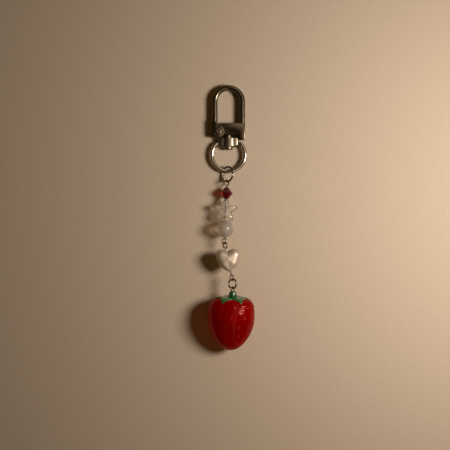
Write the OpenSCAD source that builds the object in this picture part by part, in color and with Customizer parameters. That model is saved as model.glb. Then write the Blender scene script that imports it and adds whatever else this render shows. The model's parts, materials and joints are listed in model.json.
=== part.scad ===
// Beaded strawberry keychain: a snap clasp with a swivel ring, two eye pins strung with
// beads, and a resin strawberry. It lies on a surface at z = 0 with the clasp towards +Y.

/* [Clasp] */
// Width of the hook over both bars
clasp_w = 15.3; // [14.5:0.1:16.5]
// Width of each bar, seen from the front
bar_w = 2.6; // [2.4:0.1:2.8]
// Depth of each bar, front to back
bar_d = 3.4; // [3:0.1:3.6]
// Depth of the base block, front to back
base_d = 4.5; // [4.4:0.1:5]
// Length of the hook's opening along its straight side
throat = 10.1; // [9:0.1:12]

/* [Swivel] */
// Outside diameter of the swivel ring
ring_od = 17.1; // [16:0.1:18]
// Thickness of the swivel ring's wire
ring_wire = 1.8; // [1.6:0.1:1.9]
// Diameter of the swivel barrel
barrel_d = 9.2; // [8.8:0.1:9.3]

/* [Links] */
// Outside diameter of the upper jump ring
jump_od = 8; // [7.6:0.1:8.4]
// Thickness of the upper jump ring's wire
jump_wire = 0.95; // [0.8:0.05:1]
// Outside diameter of the charm's jump ring
charm_ring_od = 5.1; // [4.8:0.1:5.4]
// Thickness of the charm ring's wire
charm_ring_wire = 0.8; // [0.6:0.05:0.8]
// Outside diameter of an eye pin's loop
loop_od = 3.2; // [3:0.1:3.4]
// Thickness of an eye pin's wire
pin_wire = 0.65; // [0.5:0.05:0.7]

/* [Beads] */
// Width of the faceted bicone bead
bicone_w = 6; // [5:0.1:6.4]
// Width of the star bead from its centre to a tip
star_r = 5.6; // [5.2:0.1:5.6]
// Diameter of the round bead
round_d = 8; // [7:0.1:8]
// Width of the heart bead
heart_w = 11.4; // [10.5:0.1:11.6]
// Thickness of the heart bead
heart_t = 5.9; // [5:0.1:6]
// Diameter of the hole through each bead
bead_hole = 1; // [0.9:0.05:1.1]

/* [Strawberry] */
// Width of the strawberry
berry_w = 21.1; // [20:0.1:21.4]
// Length of the strawberry's body
berry_l = 24.3; // [23:0.1:25]
// Depth of the strawberry as a share of its width
berry_flat = 0.75; // [0.75:0.01:0.76]
// Number of leaves in the calyx
leaves = 6; // [5:1:7]

/* [Hidden] */
$fn = 48;

steel = "#77726f";
dark_steel = "#5c5754";
bright_steel = "#b5b1ac";
eps = 0.01;
fit = 0.05;  // running clearance, on the radius
slack = 0.05;  // gap left between two linked wires

// The clasp, the swivel and the ring share this axis, which runs along Y.
line_x = -1.3;
line_z = base_d / 2;

// Clasp
base_y = 37.7;
base_h = 5.7;
base_top = base_y + base_h;
bar_mid = (clasp_w - bar_w) / 2;
arch_y = base_top + throat;
pivot = [line_x - 4.65, base_y + 2];
cheek_t = 0.9;
cheek_gap = 0.45;  // from the base's face down to the cheek's face
cheek_r = 2.9;
gate_reach = 13.35;  // from the pivot to the gate's nose
gate_gap = 0.25;
fork_r = 4.2;  // the gate is forked within this radius of its pivot
fork_h = 7.5;  // height of the fork's straight edge
foot_drop = 2.8;  // from the pivot down to the fork's foot
web_w = 0.75;  // web that joins the two cheeks
tongue_r = 2.05;
tongue_x = 0.15;  // from the pivot to the base's own edge
tongue_d = 1.7;
edge = 0.5;  // chamfer round the base
heel = 2.1;

// Rivet and spring
rivet_r = 0.9;
rivet_head_r = 1.7;
rivet_dome = 0.25;
coil_r = 1.3;
coil_wire = 0.28;
coil_turns = 3;
coil_z = 2.3;
spring_room = 2.1;  // floor of the spring's recess

// Swivel
ring_y = 28.9;
ring_r = (ring_od - ring_wire) / 2;
trunnion_y = 5.1;  // from the ring's centre up to its trunnions
trunnion_x = sqrt(ring_r * ring_r - trunnion_y * trunnion_y);
trunnion_r = 0.8;
trunnion_in = 2.4;  // from the axis to a trunnion's end
barrel_low = 32.4;
barrel_top = 36.75;
barrel_t = 4.3;
boss_r = 1.9;
boss_h = 1.2;
peen_h = 0.4;
neck_r = 1.15;
spigot_r = 0.8;
washer_r = 1.6;
washer_t = 0.6;
washer_y = 40.25;
bore_step = washer_y - 0.15;

// Chain of links. It climbs towards the strawberry's stem, which lies higher.
chain_slope = 6.765;
jump_r = (jump_od - jump_wire) / 2;
loop_r = (loop_od - pin_wire) / 2;
charm_ring_r = (charm_ring_od - charm_ring_wire) / 2;
eye_r = 1.15;
eye_wire = 0.6;
shaft_r = pin_wire / 2 - 0.025;
upper_len = 27.1;
lower_len = 15.3;
jump_turn = 44;
upper_end_turn = -45;
charm_turn = 37;
quarter = 90;  // each link is square to the next one
jump_lean = -3;
upper_lean = -2.6;
link_lean = 12;
lower_lean = 12;
charm_lean = 5;
eye_lean = 3;
berry_lean = -1.5;
berry_pitch = -5.5;

// Direction down the chain, leaning to +X and climbing by these angles
function down(lean, climb = chain_slope) =
    [sin(lean) * cos(climb), -cos(lean) * cos(climb), sin(climb)];

// From one loop's centre to the next one's, for two linked wires
function reach(r1, wire1, r2, wire2) = r1 + r2 - (wire1 + wire2) / 2 - slack;

jump_c = [line_x - 0.55, ring_y - 9.05, line_z + 0.7];
upper_c = jump_c + reach(jump_r, jump_wire, loop_r, pin_wire) * down(jump_lean);
upper_end = upper_c + upper_len * down(upper_lean);
lower_c = upper_end + reach(loop_r, pin_wire, loop_r, pin_wire) * down(link_lean);
lower_end = lower_c + lower_len * down(lower_lean);
charm_c = lower_end + reach(loop_r, pin_wire, charm_ring_r, charm_ring_wire) * down(charm_lean);
eye_c = charm_c + reach(charm_ring_r, charm_ring_wire, eye_r, eye_wire) * down(eye_lean);
stem_top = eye_r + eye_wire / 2 + 0.02;  // from the eye's centre down to the stem
stem_h = 3.2;
berry_a = 3.85;  // from the eye's centre down to the top of the strawberry's shoulders
berry_c = eye_c + berry_a * down(berry_lean, berry_pitch);

// Beads: how far each one's centre lies from the centre of its pin's upper loop
bicone_at = 4.9;
bicone_half = 2.6;
bicone_end_r = 0.9;
star_at = 13.2;
star_notch = 2.95;
star_t = 4.4;
star_tip_power = 1.3;
star_swell = 0.7;
star_sides = 60;
star_steps = 8;
round_at = 21.4;
heart_at = 7.35;
heart_tip_r = 1.2;
heart_h = 10.3;
heart_turn = -7;

// Strawberry
shank_r = 0.28;
shank_end = 5;
leaf_shell = 1.06;
leaf_scale_c = 10;
leaf_len = [8.9, 9.6, 9.4, 7.6, 9, 9.2, 9];
stem_r = 1.95;
stem_top_r = 1.3;
berry_shift = -0.3;
berry_sides = 32;
berry_steps = 9;

// Moves a link that is drawn along +Z to its place on the chain. Its +Y then faces up.
module along(at, lean, climb = chain_slope) {
    translate(at) rotate([90 - climb, 0, lean]) children();
}

module wire_ring(r, wire) {
    rotate_extrude() translate([r, 0]) circle(d = wire);
}

// A wire loop in a plane that holds Z, turned about Z
module loop(r, wire, turn) {
    rotate([0, 0, turn]) rotate([90, 0, 0]) wire_ring(r, wire);
}

module bar_section() {
    flat = bar_d - bar_w;
    square([bar_w, flat], center = true);
    for (side = [-1, 1]) translate([0, side * flat / 2]) circle(d = bar_w);
}

// A straight bar along +Y
module bar(x, y, length) {
    translate([x, y, line_z]) rotate([-90, 0, 0]) linear_extrude(length) bar_section();
}

// A cylinder along +Y on the swivel's axis
module axle(r, y, length) {
    translate([line_x, y, line_z]) rotate([-90, 0, 0]) cylinder(r = r, h = length);
}

module at_pivot(z) {
    translate([pivot[0], pivot[1], z]) children();
}

// A layer of the clasp, centred on its mid-plane
module middle(depth) {
    translate([0, 0, line_z - depth / 2]) linear_extrude(depth) children();
}

module base_outline() {
    half = clasp_w / 2;
    inside = barrel_d / 2 + 0.25;
    translate([line_x, 0]) polygon([
        [-half + edge, base_y], [inside, base_y], [inside, base_y - heel], [half, base_y - edge],
        [half, base_top], [-half + edge, base_top]
    ]);
}

// The base seen along Y, with its front and back edges chamfered
module base_profile() {
    half = clasp_w / 2;
    translate([line_x, 0]) polygon([
        [-half, edge], [-half + edge, 0], [half - edge, 0], [half, edge],
        [half, base_d - edge], [half - edge, base_d], [-half + edge, base_d],
        [-half, base_d - edge]
    ]);
}

// Room that the gate's cheeks sweep on the front and back of the base
module cheek_room() {
    depth = (base_d - tongue_d) / 2 + eps;
    for (z = [-eps, line_z + tongue_d / 2]) at_pivot(z) {
        cylinder(r = cheek_r + 0.2, h = depth);
        translate([-6, -heel, 0]) cube([6, base_h + heel, depth]);
        translate([-eps, 0, 0]) cube([2.1, base_h, depth]);
    }
}

module tongue() {
    middle(tongue_d) intersection() {
        translate(pivot) union() {
            circle(r = tongue_r);
            intersection() {
                circle(r = fork_r - 0.15);
                translate([tongue_x, -2]) square([6, base_h]);
            }
        }
        translate([line_x - 8, base_y]) square([16, base_h]);
    }
}

// Room for the spring in the front of the tongue
module spring_recess() {
    at_pivot(spring_room) {
        cylinder(r = coil_r + 0.45, h = 2);
        translate([-2.2, 0, 0]) cube([4, 5, 2]);
        translate([0, -coil_r - 0.2, 0]) cube([3.4, 0.4, 0.4]);
    }
}

module clasp_frame() {
    color(steel) difference() {
        union() {
            intersection() {
                linear_extrude(base_d) difference() {
                    base_outline();
                    translate(pivot) translate([-6, -6]) square([6 + tongue_x, 12]);
                }
                translate([0, base_top, 0]) rotate([90, 0, 0])
                    linear_extrude(base_h + heel) base_profile();
            }
            tongue();
            bar(line_x + bar_mid, base_top - 1, throat + 1);
            translate([line_x, arch_y, line_z]) rotate_extrude(angle = 180)
                translate([bar_mid, 0]) bar_section();
            difference() {
                bar(line_x - bar_mid, arch_y - 1, 1);
                at_pivot(-eps) cylinder(r = gate_reach + gate_gap, h = base_d + 1);
            }
        }
        cheek_room();
        spring_recess();
        at_pivot(-eps) cylinder(r = rivet_r, h = base_d + 1);
        axle(neck_r + fit, base_y - 1, base_h);
        axle(washer_r + 0.15, bore_step, base_h);
    }
}

module gate() {
    low = cheek_gap;
    high = base_d - cheek_gap - cheek_t;
    left = line_x - clasp_w / 2;
    foot = pivot[1] - foot_drop;
    color(steel) difference() {
        union() {
            difference() {
                intersection() {
                    bar(line_x - bar_mid, pivot[1], gate_reach + 1);
                    at_pivot(0) cylinder(r = gate_reach, h = base_d);
                }
                at_pivot(-eps) cylinder(r = fork_r, h = base_d + 1);
            }
            for (z = [low, high]) {
                at_pivot(z) cylinder(r = cheek_r, h = cheek_t);
                translate([left, foot, z]) cube([bar_w, fork_h, cheek_t]);
            }
            translate([left, foot, low]) cube([web_w, fork_h, base_d - 2 * cheek_gap]);
        }
        at_pivot(-eps) cylinder(r = rivet_r + fit, h = base_d + 1);
    }
}

module gate_rivet() {
    head = cheek_gap - fit;
    color(dark_steel) at_pivot(0) rotate_extrude() polygon([
        [0, 0], [rivet_head_r - 0.1, 0], [rivet_head_r - 0.1, head], [rivet_r, head],
        [rivet_r, base_d - head], [rivet_head_r, base_d - head], [rivet_head_r, base_d - 0.1],
        [rivet_head_r / 2, base_d + rivet_dome], [0, base_d + rivet_dome]
    ]);
}

module gate_spring() {
    pitch = coil_wire - 0.03;
    leg = coil_wire * 0.8;
    stack = (coil_turns - 1) * pitch;
    color(bright_steel) at_pivot(coil_z) {
        rotate_extrude() translate([coil_r, 0]) {
            for (turn = [0 : coil_turns - 1]) translate([0, turn * pitch]) circle(d = coil_wire);
            translate([-leg / 4, 0]) square([leg / 2, stack]);
        }
        translate([0, -coil_r, 0]) rotate([0, 90, 0]) cylinder(d = leg, h = 3.2);
        translate([-coil_r, 0, stack]) rotate([-90, 0, 0]) cylinder(d = leg, h = fork_r - 0.4);
    }
}

module swivel_barrel() {
    peened = washer_y + washer_t;
    color(dark_steel) difference() {
        union() {
            intersection() {
                axle(barrel_d / 2, barrel_low, barrel_top - barrel_low);
                middle(barrel_t) translate([line_x - 8, barrel_low - 1]) square([16, 8]);
            }
            axle(boss_r, barrel_low - boss_h, boss_h + 0.1);
            axle(neck_r, barrel_top - eps, washer_y - barrel_top);
            axle(spigot_r, washer_y - 0.1, washer_t + 0.1);
            axle(neck_r, peened, peen_h);
        }
        translate([line_x - 8, ring_y + trunnion_y, line_z]) rotate([0, 90, 0])
            cylinder(r = trunnion_r + fit, h = 16);
    }
}

module swivel_washer() {
    color(bright_steel) difference() {
        axle(washer_r, washer_y, washer_t);
        axle(spigot_r, washer_y - 1, washer_t + 2);
    }
}

module swivel_ring() {
    start = 180 - asin(trunnion_y / ring_r);
    color(bright_steel) translate([line_x, ring_y, line_z]) {
        rotate([0, 0, start]) rotate_extrude(angle = 540 - 2 * start, $fn = 96)
            translate([ring_r, 0]) circle(d = ring_wire);
        for (side = [-1, 1]) translate([side * trunnion_x, trunnion_y, 0]) {
            sphere(r = ring_wire / 2 + fit);
            rotate([0, -90 * side, 0]) cylinder(r = trunnion_r, h = trunnion_x - trunnion_in);
        }
    }
}

module upper_jump_ring() {
    color(bright_steel) along(jump_c, jump_lean) loop(jump_r, jump_wire, jump_turn);
}

// A wire with a loop at each end, drawn from its first loop's centre along +Z
module eye_pin(length, first_turn, last_turn) {
    loop(loop_r, pin_wire, first_turn);
    translate([0, 0, length]) loop(loop_r, pin_wire, last_turn);
    translate([0, 0, loop_r]) cylinder(r = shaft_r, h = length - 2 * loop_r);
}

module upper_eye_pin() {
    color(bright_steel) along(upper_c, upper_lean)
        eye_pin(upper_len, jump_turn + quarter, upper_end_turn);
}

module lower_eye_pin() {
    color(bright_steel) along(lower_c, lower_lean)
        eye_pin(lower_len, upper_end_turn + quarter, charm_turn + quarter);
}

module threading_hole(length) {
    translate([0, 0, -length]) cylinder(d = bead_hole, h = 2 * length);
}

module bicone_bead() {
    color("#7c1420") along(upper_c, upper_lean) translate([0, 0, bicone_at]) difference() {
        for (side = [0, 180]) rotate([side, 0, 0])
            cylinder(d1 = bicone_w, r2 = bicone_end_r, h = bicone_half, $fn = 12);
        threading_hole(bicone_half + 1);
    }
}

// Distance from the star's centre to its edge, at an angle from one of its tips
function star_edge(a) =
    star_notch + (star_r - star_notch) * pow((1 + cos(5 * a)) / 2, star_tip_power);

// A star swollen like a cushion, flat in XZ, with one tip towards -Z
module star_shape() {
    n = star_sides;
    rings = [for (i = [1 : star_steps - 1], k = [0 : n - 1])
        let (tilt = 180 * i / star_steps, a = 360 * k / n,
            r = star_edge(a) * pow(sin(tilt), star_swell))
        [r * sin(a), -star_t / 2 * cos(tilt), -r * cos(a)]];
    ends = [[0, -star_t / 2, 0], [0, star_t / 2, 0]];
    last = star_steps - 2;
    walls = [for (i = [0 : last - 1], k = [0 : n - 1])
        [i * n + k, (i + 1) * n + k, (i + 1) * n + (k + 1) % n, i * n + (k + 1) % n]];
    low = [for (k = [0 : n - 1]) [len(rings), k, (k + 1) % n]];
    high = [for (k = [0 : n - 1]) [len(rings) + 1, last * n + (k + 1) % n, last * n + k]];
    polyhedron(concat(rings, ends), concat(walls, low, high));
}

module star_bead() {
    color("#d8d4cc") along(upper_c, upper_lean) translate([0, 0, star_at]) difference() {
        star_shape();
        threading_hole(star_r + 1);
    }
}

module round_bead() {
    color("#b9b2a4") along(upper_c, upper_lean) translate([0, 0, round_at]) difference() {
        sphere(d = round_d);
        threading_hole(round_d);
    }
}

module heart_bead() {
    lobe_r = heart_t / 2;
    lobe_x = heart_w / 2 - lobe_r;
    top = -heart_h / 2 + lobe_r;
    tip = heart_h / 2 - heart_tip_r;
    color("#d9cfbf") along(lower_c, lower_lean) translate([0, 0, heart_at]) difference() {
        rotate([0, heart_turn, 0]) for (x = [-lobe_x, 0, lobe_x]) hull() {
            translate([x, 0, x == 0 ? top + 1.6 : top]) sphere(r = lobe_r, $fn = 32);
            translate([0, 0, tip]) sphere(r = heart_tip_r, $fn = 24);
        }
        threading_hole(heart_h);
    }
}

module charm_jump_ring() {
    color(bright_steel) along(charm_c, charm_lean)
        loop(charm_ring_r, charm_ring_wire, charm_turn);
}

// Everything on the strawberry is drawn down +Z from the level of its shoulders.
module on_berry() {
    along(berry_c, berry_lean, berry_pitch) children();
}

module charm_eye() {
    color(bright_steel) on_berry() {
        translate([0, 0, -berry_a]) loop(eye_r, eye_wire, charm_turn + quarter);
        translate([0, 0, eye_r - berry_a]) cylinder(r = shank_r, h = berry_a - eye_r + shank_end);
    }
}

function bezier(p, t) =
    pow(1 - t, 3) * p[0] + 3 * pow(1 - t, 2) * t * p[1] + 3 * (1 - t) * t * t * p[2]
    + pow(t, 3) * p[3];

// Outline of the strawberry as [distance down, radius], from its top to its tip
berry_r = berry_w / 2;
widest = 9.5;
shoulder = [[1, 0], [-0.8, 9], [2.5, berry_r], [widest, berry_r]];
taper = [[widest, berry_r], [16, berry_r], [berry_l, 5.4], [berry_l, 0]];
outline = concat(
    [for (i = [1 : berry_steps]) bezier(shoulder, i / berry_steps)],
    [for (i = [1 : berry_steps - 1]) bezier(taper, i / berry_steps)]
);

module berry_shape() {
    n = berry_sides;
    last = len(outline) - 1;
    rings = [for (p = outline, k = [0 : n - 1])
        [berry_shift + p[1] * cos(360 * k / n), berry_flat * p[1] * sin(360 * k / n), p[0]]];
    ends = [[berry_shift, 0, shoulder[0][0]], [berry_shift, 0, berry_l]];
    walls = [for (i = [0 : last - 1], k = [0 : n - 1])
        [i * n + k, (i + 1) * n + k, (i + 1) * n + (k + 1) % n, i * n + (k + 1) % n]];
    top = [for (k = [0 : n - 1]) [len(rings), k, (k + 1) % n]];
    tip = [for (k = [0 : n - 1]) [len(rings) + 1, last * n + (k + 1) % n, last * n + k]];
    polyhedron(concat(rings, ends), concat(walls, top, tip));
}

module strawberry_body() {
    color("#a30f12") on_berry() difference() {
        berry_shape();
        translate([0, 0, -1]) cylinder(r = shank_r, h = 1 + shank_end);
    }
}

// The leaves seen down the stem: long tips with short notches between them
module leaf_outline() {
    step = 360 / leaves;
    polygon([for (k = [0 : leaves - 1]) for (p = [[-0.5, 4.3], [-0.33, leaf_len[k] * 0.62],
        [0, leaf_len[k]], [0.33, leaf_len[k] * 0.62]])
        let (a = step * (k + p[0])) [p[1] * cos(a), berry_flat * p[1] * sin(a)]]);
}

module strawberry_calyx() {
    color("#1d6a2c") on_berry() difference() {
        intersection() {
            translate([0, 0, leaf_scale_c]) scale(leaf_shell)
                translate([0, 0, -leaf_scale_c]) berry_shape();
            translate([0, 0, -2]) linear_extrude(8) leaf_outline();
        }
        berry_shape();
        translate([0, 0, -2]) cylinder(r = stem_r + 0.02, h = 4);
    }
}

module strawberry_stem() {
    color("#0b5d2c") on_berry() difference() {
        translate([0, 0, stem_top - berry_a]) cylinder(r1 = stem_top_r, r2 = stem_r, h = stem_h);
        translate([0, 0, -berry_a]) cylinder(r = shank_r, h = 2 * berry_a);
        berry_shape();
    }
}

clasp_frame();
gate();
gate_rivet();
gate_spring();
swivel_barrel();
swivel_washer();
swivel_ring();
upper_jump_ring();
upper_eye_pin();
bicone_bead();
star_bead();
round_bead();
lower_eye_pin();
heart_bead();
charm_jump_ring();
charm_eye();
strawberry_body();
strawberry_calyx();
strawberry_stem();
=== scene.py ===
import json
import math
import bmesh
import bpy
import numpy as np
from bpy.props import FloatProperty, FloatVectorProperty, IntProperty, PointerProperty
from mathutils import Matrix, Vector, noise


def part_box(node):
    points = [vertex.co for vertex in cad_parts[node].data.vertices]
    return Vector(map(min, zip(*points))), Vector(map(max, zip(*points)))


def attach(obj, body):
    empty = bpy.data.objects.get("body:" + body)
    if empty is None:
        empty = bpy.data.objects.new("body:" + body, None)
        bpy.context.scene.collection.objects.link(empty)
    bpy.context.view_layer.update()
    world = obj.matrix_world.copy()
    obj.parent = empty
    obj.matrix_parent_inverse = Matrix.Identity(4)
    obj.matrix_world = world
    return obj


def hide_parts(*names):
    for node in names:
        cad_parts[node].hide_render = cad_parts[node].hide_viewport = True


bl_info = {
    "name": "Beaded strawberry keychain",
    "version": (1, 0, 0),
    "blender": (4, 5, 0),
    "location": "3D Viewport > Sidebar > Keychain",
    "description": "Builds a snap clasp, linked wires, beads and a resin strawberry",
    "category": "Add Mesh",
}

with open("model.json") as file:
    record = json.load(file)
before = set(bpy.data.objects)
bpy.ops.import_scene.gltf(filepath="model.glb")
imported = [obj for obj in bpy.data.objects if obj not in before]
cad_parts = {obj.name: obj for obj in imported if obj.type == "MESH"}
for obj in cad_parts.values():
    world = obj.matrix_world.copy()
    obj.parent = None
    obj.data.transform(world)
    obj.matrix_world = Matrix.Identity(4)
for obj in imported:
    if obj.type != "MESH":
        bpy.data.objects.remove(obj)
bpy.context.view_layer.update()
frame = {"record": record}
JOINTS = {j["name"]: j for j in frame["record"]["behaviour"]["joints"]}
MM = 0.001
UP = Vector((0, 0, 1))


# ---------------------------------------------------------------- places in the frame

def pivot(name):
    """Where a joint sits."""
    return Vector(JOINTS[name]["pos_m"])


def axis(name):
    """A joint's direction."""
    return Vector(JOINTS[name]["axis"]).normalized()


def middle(node):
    """The centre of a CAD node's box."""
    low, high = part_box(node)
    return (Vector(low) + Vector(high)) / 2


def across(direction, wire_axis):
    """A unit vector square to direction, nearest to wire_axis."""
    side = wire_axis - direction * wire_axis.dot(direction)
    return side.normalized()


# ---------------------------------------------------------------- properties

def length(name, text, default, low=0.0, high=0.2):
    """A length property, in metres."""
    return FloatProperty(
        name=name, description=text, default=default, min=low, max=high,
        subtype="DISTANCE", unit="LENGTH", precision=5)


def colour(name, text, default):
    """A colour property."""
    return FloatVectorProperty(
        name=name, description=text, default=default, min=0, max=1, size=3, subtype="COLOR")


def share(name, text, default, high=1.0):
    """A number without a unit."""
    return FloatProperty(name=name, description=text, default=default, min=0, max=high)


class ClaspSizes(bpy.types.PropertyGroup):
    width: length("Hook width", "Width over both bars", 15.3 * MM)
    bar_width: length("Bar width", "Width of each bar from the front", 2.6 * MM)
    bar_depth: length("Bar depth", "Depth of each bar", 3.4 * MM)
    bevel: length("Bevel", "Rounded edge of the base block", 0.4 * MM)
    cheek_radius: length("Cheek radius", "Round end of the gate", 2.9 * MM)
    metal: colour("Plating", "Colour of the plated clasp", (0.15, 0.125, 0.095))


class LinkSizes(bpy.types.PropertyGroup):
    ring_wire: length("Ring wire", "Thickness of the swivel ring", 1.8 * MM)
    trunnion_wire: length("Trunnion", "Thickness of the ring's ends", 1.6 * MM)
    jump_wire: length("Jump ring wire", "Thickness of the upper jump ring", 0.95 * MM)
    charm_wire: length("Charm ring wire", "Thickness of the charm's jump ring", 0.8 * MM)
    pin_wire: length("Pin wire", "Thickness of the eye pins", 0.65 * MM)
    eye_wire: length("Eye wire", "Thickness of the charm's eye", 0.6 * MM)
    slit: length("Slit", "Cut where a jump ring closes", 0.1 * MM)
    sides: IntProperty(name="Sides", description="Faces round a wire", default=20, min=8, max=48)
    bright: colour("Wire", "Colour of the plated wire", (0.56, 0.52, 0.47))
    dull: colour("Tarnished wire", "Colour of the pins", (0.27, 0.225, 0.18))


class BeadSizes(bpy.types.PropertyGroup):
    hole: length("Hole", "Diameter of the hole through a bead", 1.0 * MM)
    bicone_facets: IntProperty(
        name="Bicone facets", description="Facets round each half", default=8, min=5, max=16)
    star_tip: length("Star radius", "From the centre to a tip", 5.6 * MM)
    star_seat: length("Star seat", "From the star's centre to the bicone", 5.3 * MM)
    star_notch: length("Star notch", "From the centre to a notch", 2.95 * MM)
    heart_lobe: length("Heart lobe", "Radius of each lobe", 2.95 * MM)
    ruby: colour("Ruby", "Colour of the bicone", (0.15, 0.002, 0.010))
    milky: colour("Milky glass", "Colour of the round bead", (0.60, 0.53, 0.45))
    pearl: colour("Pearl", "Colour of the heart", (0.66, 0.56, 0.43))


class BerrySizes(bpy.types.PropertyGroup):
    flatness: share("Flatness", "Depth as a share of the width", 0.75)
    seed_rows: IntProperty(
        name="Seed rows", description="Rows of seed dimples", default=5, min=1, max=9)
    seed_pitch: length("Seed pitch", "Distance between seed dimples", 5.4 * MM)
    seed_radius: length("Seed radius", "Size of a dimple", 0.62 * MM)
    seed_depth: length("Seed depth", "Depth of a dimple", 0.2 * MM)
    leaf_thickness: length("Leaf thickness", "Thickness of a leaf", 0.45 * MM)
    red: colour("Resin", "Colour of the strawberry", (0.30, 0.0, 0.0))
    leaf: colour("Leaf", "Colour of the calyx", (0.012, 0.15, 0.03))
    stem: colour("Stem", "Colour of the stem", (0.0, 0.095, 0.022))


class StageSizes(bpy.types.PropertyGroup):
    camera_height: length("Camera height", "Camera above the floor", 0.42, high=2)
    field: length("Field", "Width of the floor in view", 0.20925, high=2)
    lamp_size: length("Lamp size", "Width of the soft lamp", 0.085, high=1)
    lamp_power: FloatProperty(name="Lamp power", description="Power of the lamp", default=0.60)
    floor: colour("Floor", "Colour of the floor", (0.615, 0.49, 0.355))
    room: colour("Room", "Colour of the room's light", (0.135, 0.080, 0.024))
    ceiling: FloatVectorProperty(
        name="Ceiling light", description="Brightness of the ceiling light", size=3,
        default=(1.05, 0.84, 0.58), min=0, max=20)


# ---------------------------------------------------------------- meshes

def mesh_object(name, vertices, faces, edges=()):
    """A new object in the scene with this mesh at the origin."""
    mesh = bpy.data.meshes.new(name)
    mesh.from_pydata([tuple(v) for v in vertices], list(edges), faces)
    mesh.update()
    obj = bpy.data.objects.new(name, mesh)
    bpy.context.scene.collection.objects.link(obj)
    return obj


def tidy_mesh(obj, merge=1e-7):
    """Merges doubled points, unless merge is 0, and turns every face outwards."""
    bm = bmesh.new()
    bm.from_mesh(obj.data)
    if merge:
        bmesh.ops.remove_doubles(bm, verts=bm.verts, dist=merge)
    bmesh.ops.recalc_face_normals(bm, faces=bm.faces)
    bm.to_mesh(obj.data)
    bm.free()


def freeze(obj):
    """Turns the object's modifiers into its plain mesh."""
    bpy.context.view_layer.update()
    shown = obj.evaluated_get(bpy.context.evaluated_depsgraph_get())
    mesh = bpy.data.meshes.new_from_object(shown)
    mesh.name = obj.name
    obj.modifiers.clear()
    obj.data = mesh


def smooth(obj, angle=35):
    """Smooth shading that keeps edges sharper than angle."""
    obj.data.shade_smooth()
    obj.data.set_sharp_from_angle(angle=math.radians(angle))


def bevelled(obj, width, segments=3, angle=30):
    """Rounds an object's edges."""
    bevel = obj.modifiers.new("Rounded edges", "BEVEL")
    bevel.width = width
    bevel.segments = segments
    bevel.limit_method = "ANGLE"
    bevel.angle_limit = math.radians(angle)
    bevel.harden_normals = False
    freeze(obj)


def carve(obj, tool, operation="DIFFERENCE"):
    """Cuts one closed solid with another, or keeps what they share, and removes the tool."""
    cut = obj.modifiers.new("Carve", "BOOLEAN")
    cut.operation = operation
    cut.solver = "EXACT"
    cut.object = tool
    freeze(obj)
    bpy.data.objects.remove(tool)


def join(name, objects):
    """One object from several closed shells."""
    bm = bmesh.new()
    for obj in objects:
        bm.from_mesh(obj.data)
        bpy.data.objects.remove(obj)
    mesh = bpy.data.meshes.new(name)
    bm.to_mesh(mesh)
    bm.free()
    joined = bpy.data.objects.new(name, mesh)
    bpy.context.scene.collection.objects.link(joined)
    return joined


def plate(name, outline, low, high):
    """A flat outline in XY raised between two heights."""
    count = len(outline)
    vertices = [(x, y, z) for z in (low, high) for x, y in outline]
    sides = [(i, (i + 1) % count, count + (i + 1) % count, count + i) for i in range(count)]
    ends = [tuple(range(count - 1, -1, -1)), tuple(range(count, 2 * count))]
    obj = mesh_object(name, vertices, sides + ends)
    tidy_mesh(obj)
    return obj


def arc(centre, radius, start, end, steps=24):
    """Points on an arc in XY, in degrees."""
    angles = [math.radians(start + (end - start) * i / steps) for i in range(steps + 1)]
    return [(centre[0] + radius * math.cos(a), centre[1] + radius * math.sin(a)) for a in angles]


def lathe(name, profile, base, direction, steps=48, side=None):
    """Turns a profile of (distance along, radius) round an axis. Its ends lie on the axis."""
    along = direction.normalized()
    first = across(along, side or (Vector((1, 0, 0)) if abs(along.x) < 0.9 else UP))
    second = along.cross(first)
    vertices = [base + along * profile[0][0]]
    for distance, radius in profile[1:-1]:
        for k in range(steps):
            a = 2 * math.pi * k / steps
            vertices.append(
                base + along * distance + (first * math.cos(a) + second * math.sin(a)) * radius)
    vertices.append(base + along * profile[-1][0])
    rings = len(profile) - 2
    last = len(vertices) - 1
    faces = [(0, 1 + (k + 1) % steps, 1 + k) for k in range(steps)]
    for i in range(rings - 1):
        a, b = 1 + i * steps, 1 + (i + 1) * steps
        faces += [(a + k, a + (k + 1) % steps, b + (k + 1) % steps, b + k) for k in range(steps)]
    a = 1 + (rings - 1) * steps
    faces += [(last, a + k, a + (k + 1) % steps) for k in range(steps)]
    obj = mesh_object(name, vertices, faces)
    tidy_mesh(obj)
    return obj


def rod(name, base, direction, radius, start, end, steps=32):
    """A plain closed rod, used to cut holes."""
    return lathe(name, [(start, 0), (start, radius), (end, radius), (end, 0)], base, direction, steps)


def ball_grid(point, around=96, levels=48):
    """Closed mesh data from point(u, v): u runs round, v from one pole (0) to the other (1)."""
    vertices = [point(0, 0)]
    vertices += [point(k / around, i / levels) for i in range(1, levels) for k in range(around)]
    vertices.append(point(0, 1))
    last = len(vertices) - 1
    faces = [(0, 1 + k, 1 + (k + 1) % around) for k in range(around)]
    for i in range(levels - 2):
        a, b = 1 + i * around, 1 + (i + 1) * around
        faces += [(a + k, b + k, b + (k + 1) % around, a + (k + 1) % around) for k in range(around)]
    a = 1 + (levels - 2) * around
    faces += [(last, a + (k + 1) % around, a + k) for k in range(around)]
    return vertices, faces


# ---------------------------------------------------------------- wires by geometry nodes

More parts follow.
